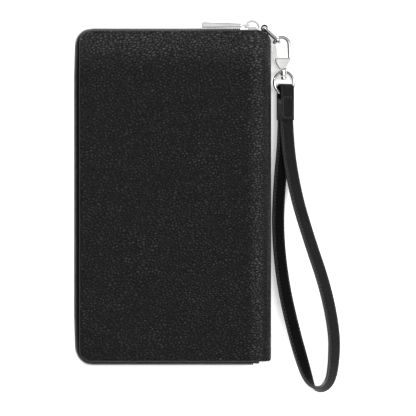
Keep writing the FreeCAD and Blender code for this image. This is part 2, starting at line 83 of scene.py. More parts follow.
# ================================================================ nodes and materials
class Nodes:
    """A small hand for building one material."""

    def __init__(self, name):
        self.material = bpy.data.materials.new(name)
        self.material.use_nodes = True
        self.tree = self.material.node_tree
        self.shader = self.tree.nodes["Principled BSDF"]
        self.place = self.add("ShaderNodeTexCoord").outputs["Object"]

    def add(self, kind, inputs=(), **settings):
        node = self.tree.nodes.new(kind)
        for key, value in settings.items():
            setattr(node, key, value)
        for key, value in dict(inputs).items():
            if isinstance(value, bpy.types.NodeSocket):
                self.tree.links.new(value, node.inputs[key])
            else:
                node.inputs[key].default_value = value
        return node

    def math(self, operation, a, b=0.0):
        return self.add("ShaderNodeMath", {0: a, 1: b}, operation=operation).outputs[0]

    def noise(self, scale, detail=3.0, rough=0.55, vector=None):
        return self.add("ShaderNodeTexNoise", {"Vector": vector or self.place, "Scale": scale,
                                               "Detail": detail, "Roughness": rough}).outputs["Fac"]

    def ramp(self, value, low, high, to_low, to_high, curve="LINEAR"):
        return self.add("ShaderNodeMapRange", {"Value": value, "From Min": low, "From Max": high,
                                               "To Min": to_low, "To Max": to_high},
                        interpolation_type=curve).outputs["Result"]

    def wave(self, scale, distortion, direction, vector=None, extra=()):
        inputs = {"Vector": vector or self.place, "Scale": scale, "Distortion": distortion, **dict(extra)}
        return self.add("ShaderNodeTexWave", inputs, bands_direction=direction).outputs["Fac"]

    def vector(self, operation, a, b):
        return self.add("ShaderNodeVectorMath", {0: a, 1: b}, operation=operation).outputs[0]

    def mixed(self, *parts):
        """The sum of (height, share) pairs."""
        total = self.math("MULTIPLY", *parts[0])
        for part in parts[1:]:
            total = self.math("ADD", total, self.math("MULTIPLY", *part))
        return total

    def colours(self, value, dark, light):
        node = self.add("ShaderNodeValToRGB", {"Fac": value})
        node.color_ramp.elements[0].color = (*dark, 1)
        node.color_ramp.elements[1].color = (*light, 1)
        return node.outputs["Color"]

    def stretched(self, scale, turn=0.0, vector=None):
        return self.add("ShaderNodeMapping", {"Vector": vector or self.place, "Scale": scale,
                                              "Rotation": (0, 0, turn)}).outputs["Vector"]

    def painted_light_bands(self, colour):
        """Painted highlight along the spine's bend and below the top edge, and painted shade past the bend
        on the spine's side.
        """
        spot = self.add("ShaderNodeSeparateXYZ", {"Vector": self.place}).outputs
        # near and top lighten the colour as painted highlight; past darkens it as painted shade
        near = self.ramp(spot["X"], 0.050, 0.0575, 0.0, 1.0, "SMOOTHSTEP")
        past = self.ramp(spot["X"], 0.0590, 0.0630, 0.0, 1.0, "SMOOTHSTEP")
        top = self.ramp(spot["Y"], 0.084, 0.108, 0.0, 1.0, "SMOOTHSTEP")
        lift = self.math("SUBTRACT", self.math("MULTIPLY", near, 1.45), self.math("MULTIPLY", past, 2.15))
        lift = self.math("ADD", lift, self.math("MULTIPLY", top, 1.55))
        gain = self.math("MAXIMUM", self.math("ADD", lift, 1.0), 0.25)
        return self.vector("MULTIPLY", colour, gain)

    def bump(self, height, distance):
        inputs = {"Height": height, "Distance": distance, "Strength": 1.0}
        return self.add("ShaderNodeBump", inputs).outputs["Normal"]

    def set(self, **values):
        for key, value in values.items():
            socket = self.shader.inputs[key.replace("_", " ")]
            if isinstance(value, bpy.types.NodeSocket):
                self.tree.links.new(value, socket)
            else:
                socket.default_value = value
        return self.material


def grained_leather(name, cell, depth, dark, light, rough, shine, warp=0.0009, painted_bands=False):
    """Pebbled leather: rounded cells between fine creases, drawn out along a wandering grain."""
    n = Nodes(name)
    wander = n.add("ShaderNodeTexNoise", {"Vector": n.place, "Scale": 26.0, "Detail": 2.0}).outputs["Color"]
    fine = n.add("ShaderNodeTexNoise", {"Vector": n.place, "Scale": 420.0, "Detail": 2.0}).outputs["Color"]
    moved = n.vector("ADD", n.place, n.vector("MULTIPLY", wander, (warp * 9,) * 3))
    moved = n.vector("ADD", moved, n.vector("MULTIPLY", fine, (warp,) * 3))
    drawn = n.vector("MULTIPLY", n.stretched((1.0, 1.0, 1.0), math.radians(-28), moved), (0.68, 1.25, 1.0))
    voronoi = {"Vector": drawn, "Scale": 1 / cell, "Randomness": 0.95}
    cells = n.add("ShaderNodeTexVoronoi", {**voronoi, "Smoothness": 0.35}, feature="SMOOTH_F1")
    creases = n.add("ShaderNodeTexVoronoi", voronoi, feature="DISTANCE_TO_EDGE").outputs["Distance"]
    hollow = n.ramp(creases, 0.0, 0.34, 0.0, 1.0)
    dome = n.ramp(cells.outputs["Distance"], 0.0, 0.75, 1.0, 0.25)
    pore = n.noise(2600.0, 2.0)
    patch = n.noise(38.0, 3.0)
    height = n.math("MULTIPLY", n.mixed((hollow, 0.55), (dome, 0.6)), n.ramp(patch, 0.35, 0.65, 0.8, 1.15))
    height = n.math("ADD", height, n.math("MULTIPLY", pore, 0.12))
    # Painted shade: the colour goes dark in the creases and light on the cell tops, standing in for the
    # grain's shading.
    painted_crease_shade = n.math("MULTIPLY", n.ramp(creases, 0.03, 0.27, 0.0, 1.0), n.ramp(patch, 0.3, 0.7, 0.8, 1.0))
    colour = n.colours(painted_crease_shade, dark, light)
    if painted_bands:
        colour = n.painted_light_bands(colour)
    roughness = n.math("ADD", n.ramp(patch, 0.3, 0.7, *rough), n.math("MULTIPLY", pore, 0.05))
    return n.set(Base_Color=colour, Roughness=roughness, Specular_IOR_Level=shine,
                 Normal=n.bump(height, depth))


def painted_edge(name, dark, light, shine):
    n = Nodes(name)
    wave = n.noise(900.0, 3.0)
    return n.set(Base_Color=n.colours(wave, dark, light), Specular_IOR_Level=shine,
                 Roughness=n.ramp(wave, 0.3, 0.7, 0.26, 0.40), Normal=n.bump(wave, 0.00006))


def twill(name, dark, light, pitch, depth):
    """Woven cloth: diagonal ribs crossed by fine threads."""
    n = Nodes(name)
    ribs = n.wave(1 / (pitch * 6.3), 0.6, "X", n.stretched((1, 1, 1), math.radians(35)),
                  {"Detail": 1.0, "Detail Scale": 2.0})
    threads = n.wave(1 / (pitch * 3.2), 0.3, "Y")
    fuzz = n.noise(1500.0, 3.0)
    height = n.mixed((ribs, 0.6), (threads, 0.3), (fuzz, 0.3))
    return n.set(Base_Color=n.colours(height, dark, light), Roughness=n.ramp(fuzz, 0.3, 0.7, 0.7, 0.88),
                 Sheen_Weight=0.25, Normal=n.bump(height, depth))


def tape_cloth(name):
    """Zip tape: close ribs along its length, with a finer weave across."""
    n = Nodes(name)
    along = n.wave(260.0, 0.2, "Z")
    spun = n.wave(330.0, 0.4, "X", n.stretched((1, 1, 0.6), math.radians(45)))
    fuzz = n.noise(2200.0, 3.0)
    height = n.mixed((along, 0.4), (spun, 0.5), (fuzz, 0.3))
    return n.set(Base_Color=n.colours(height, (0.001, 0.001, 0.001), (0.0035, 0.0035, 0.0036)),
                 Roughness=n.ramp(fuzz, 0.3, 0.7, 0.7, 0.86), Specular_IOR_Level=0.06,
                 Normal=n.bump(height, 0.00014))


def metal(name, dark, light, rough, metallic=1.0, shine=0.5):
    """Plated metal: tiny waves, faint handling marks and a little colour drift."""
    n = Nodes(name)
    drift = n.noise(60.0, 2.0)
    brushed = n.noise(900.0, 2.0, vector=n.stretched((1.0, 0.12, 1.0), math.radians(20)))
    marks = n.noise(3200.0, 3.0, 0.7)
    roughness = n.math("ADD", n.ramp(drift, 0.3, 0.7, *rough), n.math("MULTIPLY", marks, 0.05))
    return n.set(Base_Color=n.colours(drift, dark, light), Metallic=metallic, Specular_IOR_Level=shine,
                 Roughness=roughness, Normal=n.bump(n.mixed((brushed, 0.6), (marks, 0.4)), 0.000012))


def thread(name, dark, light):
    n = Nodes(name)
    twist = n.wave(1300.0, 0.5, "DIAGONAL")
    return n.set(Base_Color=n.colours(twist, dark, light), Roughness=n.ramp(twist, 0, 1, 0.45, 0.6),
                 Sheen_Weight=0.2, Normal=n.bump(twist, 0.00005))


def moulded(name, dark, light):
    n = Nodes(name)
    grain = n.noise(700.0, 3.0)
    return n.set(Base_Color=n.colours(grain, dark, light), Roughness=n.ramp(grain, 0.3, 0.7, 0.4, 0.55),
                 Normal=n.bump(grain, 0.00004))


PEBBLED = grained_leather("pebbled_leather", 0.0017, 0.0022, (0.0006, 0.0006, 0.0006),
                          (0.0335, 0.0335, 0.0342), (0.32, 0.44), 0.24, painted_bands=True)
SMOOTH = grained_leather("strap_leather", 0.0007, 0.00018, (0.0008, 0.0008, 0.0008),
                         (0.0030, 0.0030, 0.0031), (0.36, 0.48), 0.135, warp=0.0003)
BACKING = grained_leather("strap_backing", 0.0005, 0.00012, (0.001, 0.001, 0.001),
                          (0.003, 0.003, 0.0031), (0.6, 0.75), 0.06, warp=0.0003)
POCKET = grained_leather("pocket_leather", 0.0009, 0.00014, (0.008, 0.008, 0.0085),
                         (0.016, 0.016, 0.017), (0.42, 0.56), 0.3, warp=0.0004)
EDGE = painted_edge("painted_leather_edge", (0.004, 0.004, 0.0042), (0.010, 0.010, 0.0105), 0.3)
# The strap's edges are glossy, and their colour is lighter than the strap's face as a painted highlight.
GLOSSY_EDGE_PAINTED_HIGHLIGHT = painted_edge("strap_edge_gloss_and_painted_highlight", (0.014, 0.014, 0.0142), (0.032, 0.032, 0.0325), 0.5)
RIM = painted_edge("turned_leather_rim", (0.007, 0.007, 0.0072), (0.018, 0.018, 0.0184), 0.34)
LINING = twill("lining_twill", (0.018, 0.018, 0.02), (0.05, 0.05, 0.054), 0.0009, 0.00012)
TAPE = tape_cloth("zip_tape")
TEETH = metal("black_teeth", (0.0015, 0.0015, 0.0015), (0.004, 0.004, 0.0041), (0.3, 0.42),
              metallic=0.0, shine=0.08)
NICKEL = metal("polished_nickel", (0.47, 0.467, 0.458), (0.57, 0.566, 0.556), (0.12, 0.20))
SPRING = metal("spring_steel", (0.5, 0.5, 0.5), (0.62, 0.62, 0.62), (0.25, 0.35))
THREAD = thread("black_thread", (0.012, 0.012, 0.012), (0.05, 0.05, 0.05))
ELASTIC = tape_cloth("pen_loop_elastic")
BOARD = moulded("stiffener_board", (0.10, 0.10, 0.10), (0.15, 0.15, 0.15))


# ================================================================ mesh helpers
def mesh_object(name, verts, faces, materials, picks=None):
    """One object from points in millimetres; picks gives each face its material's place in the list."""
    mesh = bpy.data.meshes.new(name)
    mesh.from_pydata([tuple(float(c) * MM for c in v) for v in verts], [], [tuple(f) for f in faces])
    for material in materials if isinstance(materials, list) else [materials]:
        mesh.materials.append(material)
    if picks is not None:
        mesh.polygons.foreach_set("material_index", np.asarray(picks, dtype=np.int32))
    mesh.polygons.foreach_set("use_smooth", [True] * len(mesh.polygons))
    mesh.update()
    obj = bpy.data.objects.new(name, mesh)
    bpy.context.scene.collection.objects.link(obj)
    return obj


def outward(obj):
    """Makes every face of the closed mesh look outward."""
    work = bmesh.new()
    work.from_mesh(obj.data)
    bmesh.ops.recalc_face_normals(work, faces=work.faces)
    work.to_mesh(obj.data)
    work.free()
    return obj


# How far in from a rounded outline the mesh has its close rows.
NEAR = [0.0, 0.1, 0.28, 0.52, 0.8, 1.15, 1.45, 1.75, 2.1, 2.6]


def steps(low, high, step, round_high=True):
    """Positions from low to high, about a step apart and closer at the rounded ends."""
    first = [low + e for e in NEAR]
    last = [high - e for e in reversed(NEAR)] if round_high else [high]
    count = max(2, round((last[0] - first[-1]) / step))
    return first + list(np.linspace(first[-1], last[0], count + 1))[1:-1] + last


def rounded(depth, radius):
    """How far a rounded edge has dropped at that depth in from the outline."""
    return radius - math.sqrt(max(0.0, radius ** 2 - (radius - min(depth, radius)) ** 2))


def panel(name, s0, s1, ends, thickness, place, material, corner=0.0, step=1.6, round_right=True,
          crease=0.0, puff=None, rim=None):
    """A leather or cloth panel. It is laid out flat in (s, y), with h the depth from its outer face,
    and place(s, y, h) carries a point to its position. Its outline is rounded over, its corners at s0
    are round, and a crease runs inside its outline."""
    crease_in, crease_width, rim_rows = 1.6, 0.28, 3
    columns = steps(s0, s1, step, round_right)
    m = len(steps(*(e + t for e, t in zip(ends(s0), (corner, -corner))), step))
    outer, inner = [], []
    for s in columns:
        edge_low, edge_high = ends(s)
        beside = max(0.0, s0 + corner - s)
        cut = corner - math.sqrt(max(0.0, corner ** 2 - beside ** 2))
        low, high = edge_low + cut, edge_high - cut
        middle = np.linspace(low + NEAR[-1], high - NEAR[-1], m - 2 * len(NEAR) + 2)[1:-1]
        top, bottom = [], []
        for y in [low + e for e in NEAR] + list(middle) + [high - e for e in reversed(NEAR)]:
            d = min(y - low, high - y, s - s0)
            if round_right:
                d = min(d, s1 - s)
            beyond = max(y - (edge_high - corner), (edge_low + corner) - y)
            if beside > 0 and beyond > 0:
                d = min(d, corner - math.hypot(beside, beyond))
            d = max(d, 0.0)
            drop = rounded(d, thickness / 2)
            groove = crease * math.exp(-((d - crease_in) / crease_width) ** 2)
            swell = puff(s, y, d) if puff else 0.0
            top.append(place(s, y, drop + groove + swell))
            bottom.append(place(s, y, thickness - drop))
        outer.append(top)
        inner.append(bottom)
    verts = [p for column in outer + inner for p in column]
    n = len(columns)
    faces, picks = [], []
    for i in range(n - 1):
        for j in range(m - 1):
            a, b, c, d = i * m + j, (i + 1) * m + j, (i + 1) * m + j + 1, i * m + j + 1
            faces.append((a, b, c, d))
            faces.append((d + n * m, c + n * m, b + n * m, a + n * m))
            at_rim = min(j, m - 2 - j, i) < rim_rows or (round_right and n - 2 - i < rim_rows)
            picks += [int(at_rim)] * 2
    ring = list(range(m)) + [i * m + m - 1 for i in range(1, n)] \
        + [(n - 1) * m + j for j in range(m - 2, -1, -1)] + [i * m for i in range(n - 2, 0, -1)]
    for a, b in zip(ring, ring[1:] + ring[:1]):
        faces.append((a, b, b + n * m, a + n * m))
        picks.append(1)
    obj = mesh_object(name, verts, faces, [material, rim] if rim else material, picks if rim else None)
    work = bmesh.new()
    work.from_mesh(obj.data)
    bmesh.ops.remove_doubles(work, verts=work.verts, dist=2e-6)
    bmesh.ops.recalc_face_normals(work, faces=work.faces)
    work.to_mesh(obj.data)
    work.free()
    return obj


def stitches(name, rows, length, radius):
    """Sewing thread: each row is a list of (place, run, normal). A stitch sits at its place along the
    run, stands up along the normal and dips in at both ends."""
    verts, faces = [], []
    sides = 6
    # (along, width, lift) of a stitch's sections, as shares of its length and radius
    shape = [(-0.5, 0.35, -0.9), (-0.38, 0.9, -0.1), (0.0, 1.0, 0.25), (0.38, 0.9, -0.1), (0.5, 0.35, -0.9)]
    for place, run, normal in (stitch for row in rows for stitch in row):
        run, normal = Vector(run).normalized(), Vector(normal).normalized()
        side = run.cross(normal).normalized()
        first = len(verts)
        for along, wide, lift in shape:
            centre = Vector(place) + run * (along * length) + normal * (lift * radius)
            for k in range(sides):
                a = 2 * math.pi * k / sides
                verts.append(centre + side * (math.cos(a) * radius * wide)
                             + normal * (math.sin(a) * radius * wide))
        for r in range(len(shape) - 1):
            for k in range(sides):
                a, b = first + r * sides + k, first + r * sides + (k + 1) % sides
                faces.append((a, b, b + sides, a + sides))
        faces.append([first + k for k in range(sides)][::-1])
        faces.append([first + (len(shape) - 1) * sides + k for k in range(sides)])
    return outward(mesh_object(name, verts, faces, THREAD))


def line_stitches(a, b, normal, pitch):
    """Stitch places along a straight line from a to b."""
    a, b = Vector(a), Vector(b)
    span = (b - a).length
    run = (b - a).normalized()
    count = max(1, round(span / pitch))
    return [(a + run * (span * (k + 0.5) / count), run, normal) for k in range(count)]


def dress(node, material):
    """A CAD node keeps its shape and gets this material."""
    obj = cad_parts[node]
    obj.data.materials.clear()
    obj.data.materials.append(material)


def finish_piece(obj, body, slot, *nodes):
    """Attaches the piece to its body and hides the CAD nodes that it replaces; slot is not used."""
    if nodes:
        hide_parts(*nodes)
    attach(obj, body)


# ================================================================ wrist strap
# The CAD's route with its lower loop a little fuller and its width turned a little further up: points
# in metres, and the turn of the band's width in degrees.
ROUTE = [
    ((0.07592, 0.0660, 0.0050), -30), ((0.07592, 0.0400, 0.0050), -30), ((0.0726, 0.0100, 0.0047), -38),
    ((0.0711, -0.0240, 0.0046), -40), ((0.0748, -0.0600, 0.0044), -35), ((0.0821, -0.0920, 0.0042), -32),
    ((0.0878, -0.1120, 0.0045), -34), ((0.0921, -0.1254, 0.0052), -54), ((0.0968, -0.1316, 0.0054), -98),
    ((0.1028, -0.1316, 0.0053), -116), ((0.1078, -0.1252, 0.0050), -128), ((0.1098, -0.1100, 0.0047), -137),
    ((0.1098, -0.0920, 0.0046), -139), ((0.1038, -0.0620, 0.0046), -141),
    ((0.0929, -0.0300, 0.0047), -141), ((0.0832, 0.0020, 0.0054), -142),
    ((0.07708, 0.0400, 0.0070), -150), ((0.07708, 0.0660, 0.0070), -150),
]


def spline_points(points):
    """The line of a smooth NURBS spline with these control points."""
    data = bpy.data.curves.new("route", "CURVE")
    data.dimensions = "3D"
    data.resolution_u = 14
    spline = data.splines.new("NURBS")
    spline.points.add(len(points) - 1)
    for target, point in zip(spline.points, points):
        target.co = (*point, 1.0)
    spline.order_u = 3
    spline.use_endpoint_u = True
    holder = bpy.data.objects.new("route", data)
    bpy.context.scene.collection.objects.link(holder)
    bpy.context.view_layer.update()
    mesh = bpy.data.meshes.new_from_object(holder)
    line = [v.co.copy() for v in mesh.vertices]
    bpy.data.objects.remove(holder)
    bpy.data.meshes.remove(mesh)
    return line


def runs(line):
    """The direction of a line of points at each of them."""
    return [(b - a).normalized() for a, b in zip(line[:1] + line[:-1], line[1:] + line[-1:])]


def strap_frames():
    """(point, run, width, face) along the band, in millimetres; the width turns as the route says."""
    line = [p / MM for p in spline_points([p for p, _ in ROUTE])]
    turns = [p.x / MM for p in spline_points([(t * MM, 0.01 * i, 0.0) for i, (_, t) in enumerate(ROUTE)])]
    frames = []
    for point, run, turn in zip(line, runs(line), turns):
        level = Vector((0, 0, 1)).cross(run).normalized()
        up = run.cross(level)
        a = math.radians(turn)
        width = (level * math.cos(a) + up * math.sin(a)).normalized()
        frames.append((point, run, width, run.cross(width).normalized()))
    return frames


def band_section(width, thick, seam):
    """(across, depth, at the edge) round a padded band with a sewn line near each side."""
    w, t, dip = width / 2, thick / 2, 0.16
    top = [(-w, 0.25 * t, 1), (-w + 0.08, 0.62 * t, 1), (-w + 0.35, 0.93 * t, 1), (-w + 0.7, t, 0),
           (-w + seam - 0.3, t - 0.02, 0), (-w + seam, t - dip, 0), (-w + seam + 0.32, t - 0.02, 0),
           (-w + 2.3, t + 0.02, 0), (-w * 0.3, t + 0.03, 0), (0.0, t + 0.03, 0)]
    top = top + [(-x, y, e) for x, y, e in reversed(top[:-1])]
    return top + [(x, -y, e) for x, y, e in reversed(top)]


def band(name, frames, width, thick, materials, seam=SEAM):
    """A closed leather band along the frames: its face, its edges and, if given, its inner face."""
    section = band_section(width, thick, seam)
    k = len(section)
    verts, faces, picks = [], [], []
    for point, run, across, face in frames:
        verts += [point + across * a + face * b for a, b, _ in section]
    for i in range(len(frames) - 1):
        for j in range(k):
            n = (j + 1) % k
            faces.append((i * k + j, i * k + n, (i + 1) * k + n, (i + 1) * k + j))
            edge = section[j][2] and section[n][2]
            inner = len(materials) == 3 and section[j][1] > 0 and section[n][1] > 0
            picks.append(1 if edge else 2 if inner else 0)
    faces.append(list(range(k))[::-1])
    faces.append([(len(frames) - 1) * k + j for j in range(k)])
    picks += [1, 1]
    return outward(mesh_object(name, verts, faces, materials, picks))


def lengths_along(points):
    """The length of a line of points from its start to each of them."""
    lengths = [0.0]
    for a, b in zip(points, points[1:]):
        lengths.append(lengths[-1] + (b - a).length)
    return lengths


def band_stitches(name, frames, width, thick, pitch, length, radius, trim):
    """Stitches along both edges of a band, on both faces, from trim in from its ends."""
    lengths = lengths_along([f[0] for f in frames])
    row = []
    total = lengths[-1] - 2 * trim
    count = int(total / pitch)
    for k in range(count):
        at = trim + total * (k + 0.5) / count
        i = min(np.searchsorted(lengths, at), len(frames) - 1)
        share = (at - lengths[i - 1]) / (lengths[i] - lengths[i - 1])
        point, run, across, face = (a.lerp(b, share) for a, b in zip(frames[i - 1], frames[i]))
        for side in (1, -1):
            for edge in (-1, 1):
                place = point + across * (edge * (width / 2 - SEAM)) + face * (side * (thick / 2 - 0.07))
                row.append((place, run, face * side))
    return stitches(name, [row], length, radius)


strap_line = strap_frames()
strap = band("wrist_strap_leather", strap_line, STRAP_W, STRAP_T, [SMOOTH, GLOSSY_EDGE_PAINTED_HIGHLIGHT, BACKING])
finish_piece(strap, "strap", "strap_leather", "wrist_strap")
strap_sewing = band_stitches("wrist_strap_stitching", strap_line, STRAP_W, STRAP_T, 2.5, 1.9, 0.2, trim=15.5)
finish_piece(strap_sewing, "strap", "strap_leather")


# ---------------------------------------------------------------- the tab that holds the strap
TAB_MIDDLE = Vector((STACK_X, 0, STACK_Z))
TILT = math.radians(STACK_TILT)
TAB_ACROSS = Vector((math.cos(TILT), 0, -math.sin(TILT)))
TAB_NORMAL = Vector((math.sin(TILT), 0, math.cos(TILT)))
TAB_END, TAB_BEND = 51.7, 72.85    # where the tab starts, and where it begins to bend round the ring


def strap_tab_frames():
    """The tab's middle line: up the lower side, over the swivel ring and down the upper side."""
    half = STRAP_T + TAB_GAP + TAB_T / 2
    flat = [(y, -half) for y in np.linspace(TAB_END, TAB_BEND, 10)]
    over = [(TAB_BEND + half * math.sin(a), -half * math.cos(a)) for a in np.linspace(0, math.pi, 15)][1:]
    back = [(y, half) for y in np.linspace(TAB_BEND, TAB_END, 10)][1:]
    line = [TAB_MIDDLE + Vector((0, y, 0)) + TAB_NORMAL * d for y, d in flat + over + back]
    return [(point, run, TAB_ACROSS, run.cross(TAB_ACROSS).normalized())
            for point, run in zip(line, runs(line))]


def tab_stitches():
    """A sewn box on each face of the tab."""
    lift, pitch = STRAP_T + TAB_GAP + TAB_T - 0.03, 2.4
    rows = []
    for side in (1, -1):
        def spot(across, y):
            return TAB_MIDDLE + Vector((0, y, 0)) + TAB_NORMAL * (side * lift) + TAB_ACROSS * across
        for edge in (-3.75, 3.75):
            rows.append(line_stitches(spot(edge, 53.6), spot(edge, 67.0), TAB_NORMAL * side, pitch))
        for y in (53.4, 67.4):
            rows.append(line_stitches(spot(-3.6, y), spot(3.6, y), TAB_NORMAL * side, pitch))
    return stitches("strap_tab_stitching", rows, 1.8, 0.2)


tab = band("strap_tab_leather", strap_tab_frames(), STRAP_W, TAB_T - 0.04, [SMOOTH, EDGE])
finish_piece(tab, "strap", "strap_leather", "strap_tab")
finish_piece(tab_stitches(), "strap", "strap_leather")

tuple(ROUTE[0][0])
[tuple(p * MM for p in f[0]) for f in strap_line]


# ================================================================ covers
FLAT = BEND_X - COVER_LEFT
ARC = BEND_R * math.pi / 2
SKIN_END = FLAT + ARC + MID - BEND_R


def spine_cut(x, corner):
    """How far the leather's end is pulled in where it turns the spine's corner."""
    over = max(0.0, x - (SPINE_X - corner))
    return corner - math.sqrt(max(0.0, corner ** 2 - over ** 2))


def skin_point(s, h):
    """(x, z) on the lower skin, s along the outside from the zip side and h in from the outside."""
    if s <= FLAT:
        return COVER_LEFT + s, h
    if s <= FLAT + ARC:
        a = (s - FLAT) / BEND_R
        return BEND_X + (BEND_R - h) * math.sin(a), BEND_R - (BEND_R - h) * math.cos(a)
    return SPINE_X - h, BEND_R + s - FLAT - ARC


def skin_ends(s):
    """The skin's lower and upper outline; the corner at the ring is the larger one."""
    x, _ = skin_point(s, 0)
    return -COVER_HALF + spine_cut(x, FOOT_CORNER), COVER_HALF - spine_cut(x, RING_CORNER)


def soft_hand(s, y, d):
    """The leather's own slow unevenness, always inward, fading at the outline."""
    wave = 0.5 + 0.25 * math.sin(s * 0.11 + 1.3 * math.sin(y * 0.035)) \
        + 0.25 * math.sin(y * 0.083 + 1.1 * math.cos(s * 0.05))
    return 0.09 * wave * min(1.0, d / 6.0)


def cover_skin(name, upper):
    """One cover's leather with its half of the spine, running on from the cover round the bend to the spine.
    """
    def place(s, y, h):
        x, z = skin_point(s, h)
        return (x, y, THICK - z if upper else z)
    skin = panel(name, 0.0, SKIN_END, skin_ends, LEATHER, place, PEBBLED, corner=COVER_CORNER, step=1.7,
                 round_right=False, crease=0.22, puff=soft_hand, rim=RIM)
    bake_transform(skin)
    return skin


lower_skin = cover_skin("lower_cover_skin", False)
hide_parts("lower_cover_leather")
upper_skin = cover_skin("upper_cover_skin", True)
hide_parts("upper_cover_leather", "spine_leather")


def flat_panel(name, body, slot, material, x0, x1, y0, y1, z0, z1, up, node, corner=0.0, step=3.0,
               crease=0.0, rim=None):
    """A flat panel whose outer, visible face is up or down."""
    def place(s, y, h):
        return (s, y, z1 - h if up else z0 + h)
    obj = panel(name, x0, x1, lambda s: (y0, y1), z1 - z0, place, material, corner, step,
                crease=crease, rim=rim)
    finish_piece(obj, body, slot, node)


LINING_INSET, SPINE_CLOTH_HALF, SPINE_CLOTH_GAP = 2.2, 5.0, 0.1


def spine_lining_place(s, y, h):
    return (SPINE_X - INSIDE - SPINE_CLOTH_GAP + h, y, s)


for cover, up in (("lower_cover", True), ("upper_cover", False)):
    base = BOARD_TOP if up else THICK - INSIDE
    flat_panel(f"{cover}_lining_cloth", cover, "lining", LINING, COVER_LEFT + 1.2, BEND_X - 1,
               -COVER_HALF + LINING_INSET, COVER_HALF - LINING_INSET, base, base + LINING_T, up,
               f"{cover}_lining", corner=7.0)
    dress(f"{cover}_board", BOARD)
spine_cloth = panel("spine_lining_cloth", MID - SPINE_CLOTH_HALF, MID + SPINE_CLOTH_HALF,
                    lambda s: (-COVER_HALF + 6, COVER_HALF - 6), LINING_T, spine_lining_place, LINING,
                    step=2.5)
finish_piece(spine_cloth, "spine", "lining", "spine_lining")


# ================================================================ pockets
UP, DOWN = Vector((0, 0, 1)), Vector((0, 0, -1))
POCKET_X0, POCKET_X1, POCKET_HALF = -57.0, 50.0, 106.0
SEAM_IN, STITCH_SINK, STITCH_PITCH = 2.6, 0.04, 2.6
CARD_SLOTS, CARD_STEP, CARD_TOP, CARD_FOOT = 5, 15.0, 96.0, -18.0
TICKET_TOP, PASS_TOP, PASSPORT_TOP, PASSPORT_X1 = -20.0, 78.0, 4.0, 42.0
SEAM_X0, SEAM_X1, SEAM_Y = POCKET_X0 + SEAM_IN, POCKET_X1 - SEAM_IN, POCKET_HALF - SEAM_IN


def pocket(name, node, level, x0, x1, y0, y1, up):
    """A leather pocket, level counting the pockets between it and the lining."""
    base = INSIDE + POCKET_T * level
    z0, z1 = (base, base + POCKET_T) if up else (THICK - base - POCKET_T, THICK - base)
    flat_panel(name, "lower_cover" if up else "upper_cover", "pocket_leather", POCKET, x0, x1, y0, y1,
               z0, z1, up, node, step=3.5, crease=0.12, rim=EDGE)


def seam(x0, y0, x1, y1, level, up):
    """Stitches on a pocket at that level."""
    depth = INSIDE + POCKET_T * (level + 1) - STITCH_SINK
    z = depth if up else THICK - depth
    return line_stitches((x0, y0, z), (x1, y1, z), UP if up else DOWN, STITCH_PITCH)


def finish_seams(name, body, rows):
    finish_piece(stitches(name, rows, 1.9, 0.17), body, "pocket_leather")


def lower_pockets():
    pocket("slip_pocket_leather", "full_length_slip_pocket", 0, POCKET_X0, POCKET_X1, -POCKET_HALF,
           POCKET_HALF, True)
    pocket("ticket_pocket_leather", "ticket_pocket", 1, POCKET_X0, POCKET_X1, -POCKET_HALF, TICKET_TOP,
           True)
    seams = []
    foot = CARD_FOOT + SEAM_IN
    for k in range(CARD_SLOTS):
        top = CARD_TOP - CARD_STEP * k
        pocket(f"card_slot_{k + 1}_leather", f"card_slot_{k + 1}", k + 1, POCKET_X0, POCKET_X1, CARD_FOOT,
               top, True)
        start = foot if k == CARD_SLOTS - 1 else top - CARD_STEP
        for x in (SEAM_X0, SEAM_X1):
            seams.append(seam(x, start + 0.6, x, top - 0.8, k + 1, True))
    seams.append(seam(SEAM_X0, foot, SEAM_X1, foot, CARD_SLOTS, True))
    for x in (SEAM_X0, SEAM_X1):
        seams.append(seam(x, -SEAM_Y, x, TICKET_TOP - 0.8, 1, True))
    seams.append(seam(SEAM_X0, -SEAM_Y, SEAM_X1, -SEAM_Y, 1, True))
    seams.append(seam(SEAM_X0, SEAM_Y, SEAM_X1, SEAM_Y, 0, True))
    finish_seams("lower_pocket_stitching", "lower_cover", seams)


def upper_pockets():
    pocket("boarding_pass_pocket_leather", "boarding_pass_pocket", 0, POCKET_X0, POCKET_X1, -POCKET_HALF,
           PASS_TOP, False)
    pocket("passport_pocket_leather", "passport_pocket", 1, POCKET_X0, PASSPORT_X1, -POCKET_HALF,
           PASSPORT_TOP, False)
    seams = []
    for x, low in ((SEAM_X0, PASSPORT_TOP + 0.8), (SEAM_X1, -SEAM_Y)):
        seams.append(seam(x, low, x, PASS_TOP - 0.8, 0, False))
    side = PASSPORT_X1 - SEAM_IN
    for x in (SEAM_X0, side):
        seams.append(seam(x, -SEAM_Y, x, PASSPORT_TOP - 0.8, 1, False))
    seams.append(seam(SEAM_X0, -SEAM_Y, side, -SEAM_Y, 1, False))
    finish_seams("upper_pocket_stitching", "upper_cover", seams)


lower_pockets()
upper_pockets()


